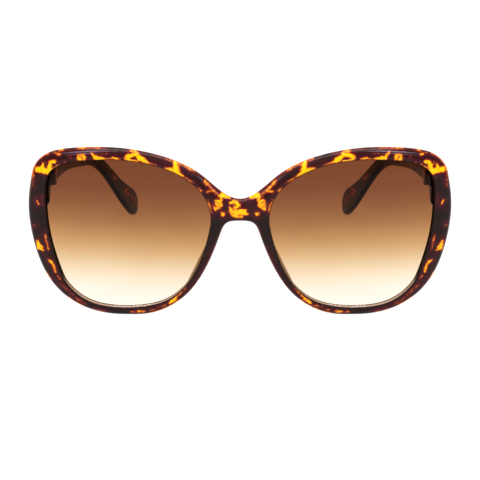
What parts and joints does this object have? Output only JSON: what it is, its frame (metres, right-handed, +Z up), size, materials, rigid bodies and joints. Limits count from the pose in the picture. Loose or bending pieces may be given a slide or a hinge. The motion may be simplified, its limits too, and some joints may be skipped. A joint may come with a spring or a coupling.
{
  "type": "cat eye sunglasses",
  "caption": "Cat eye sunglasses with a curved tortoiseshell acetate front, graduated tinted lenses, bonded nose pads and folding temples on barrel hinges.",
  "frame": {"origin": "middle of the footprint of the open glasses, on the surface that the rims and temple tips rest on", "axes": "+Z up, +Y back along the temples (the lenses face -Y), +X towards the wearer's left"},
  "size_m": [0.1448, 0.1585, 0.058],
  "materials": {
    "acetate": "polished tortoiseshell acetate, near black brown with amber and yellow flecks",
    "lens": "clear moulded lens, brown at the brow fading to a pale cream at the bottom",
    "pad": "polished smoky translucent acetate",
    "hinge_metal": "tumbled nickel silver with a dark plating",
    "screw_metal": "turned stainless steel",
    "core_metal": "drawn nickel silver wire"
  },
  "bodies": {
    "front": {"front_frame": "acetate", "lens_left": "lens", "lens_right": "lens", "nose_pad_left": "pad", "nose_pad_right": "pad", "front_hinge_left": "hinge_metal", "front_hinge_right": "hinge_metal", "hinge_screw_left": "screw_metal", "hinge_screw_right": "screw_metal"},
    "temple_left": {"temple_left": "acetate", "temple_hinge_left": "hinge_metal", "temple_core_left": "core_metal"},
    "temple_right": {"temple_right": "acetate", "temple_hinge_right": "hinge_metal", "temple_core_right": "core_metal"}
  },
  "joints": [
    {"name": "temple_left_fold", "type": "hinge", "parent": "front", "child": "temple_left", "pos_m": [0.0649, -0.05929, 0.04667], "axis": [0, 0.0608, 0.9982], "range_deg": [0, 84]},
    {"name": "temple_right_fold", "type": "hinge", "parent": "front", "child": "temple_right", "pos_m": [-0.0649, -0.05929, 0.04667], "axis": [0, -0.0608, -0.9982], "range_deg": [0, 78]}
  ]
}
